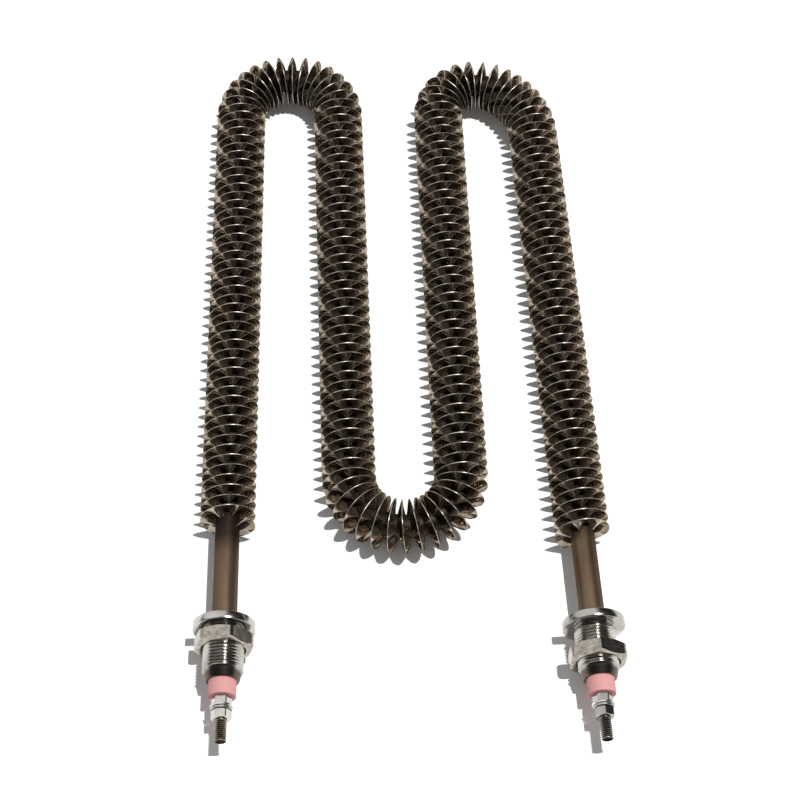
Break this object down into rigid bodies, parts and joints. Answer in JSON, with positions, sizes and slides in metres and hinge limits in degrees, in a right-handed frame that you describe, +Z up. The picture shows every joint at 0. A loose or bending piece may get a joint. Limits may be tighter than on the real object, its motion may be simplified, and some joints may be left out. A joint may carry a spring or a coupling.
{
  "type": "finned tubular heating element",
  "caption": "W-shaped tubular air heater with a crimped spiral fin, flanged screw-in bushes, ceramic beads and threaded stud terminals.",
  "frame": {"origin": "on the ground under the middle of the whole heater, which lies flat", "axes": "+Y along the legs, from the terminals to the two outer bends; +X from the left terminal to the right one; +Z up, square to the plane of the W"},
  "size_m": [0.189, 0.3903, 0.0275],
  "materials": {
    "sheath": "heat-tinted stainless steel, satin",
    "fins": "heat-darkened stainless strip, smooth",
    "coil": "resistance wire",
    "magnesia": "pressed powder",
    "bush": "turned stainless steel, bright",
    "lock_nut": "stainless steel, brushed flats",
    "seal": "silicone",
    "bead": "unglazed, matt",
    "left_stud": "heat-tinted steel thread",
    "right_stud": "heat-darkened steel thread",
    "stud_nut": "stainless steel, bright",
    "washer": "stainless steel, bright",
    "spring_washer": "stainless steel"
  },
  "bodies": {
    "root": {"sheath_tube": "sheath", "fin_strip": "fins", "resistance_coil": "coil", "magnesia_filling": "magnesia", "left_flanged_bush": "bush", "left_lock_nut": "lock_nut", "left_moisture_seal": "seal", "left_ceramic_bead": "bead", "left_terminal_stud": "left_stud", "left_inner_nut": "stud_nut", "left_plain_washer": "washer", "left_spring_washer": "spring_washer", "left_outer_nut": "stud_nut", "right_flanged_bush": "bush", "right_lock_nut": "lock_nut", "right_moisture_seal": "seal", "right_ceramic_bead": "bead", "right_terminal_stud": "right_stud", "right_inner_nut": "stud_nut", "right_plain_washer": "washer", "right_spring_washer": "spring_washer", "right_outer_nut": "stud_nut"}
  },
  "joints": []
}
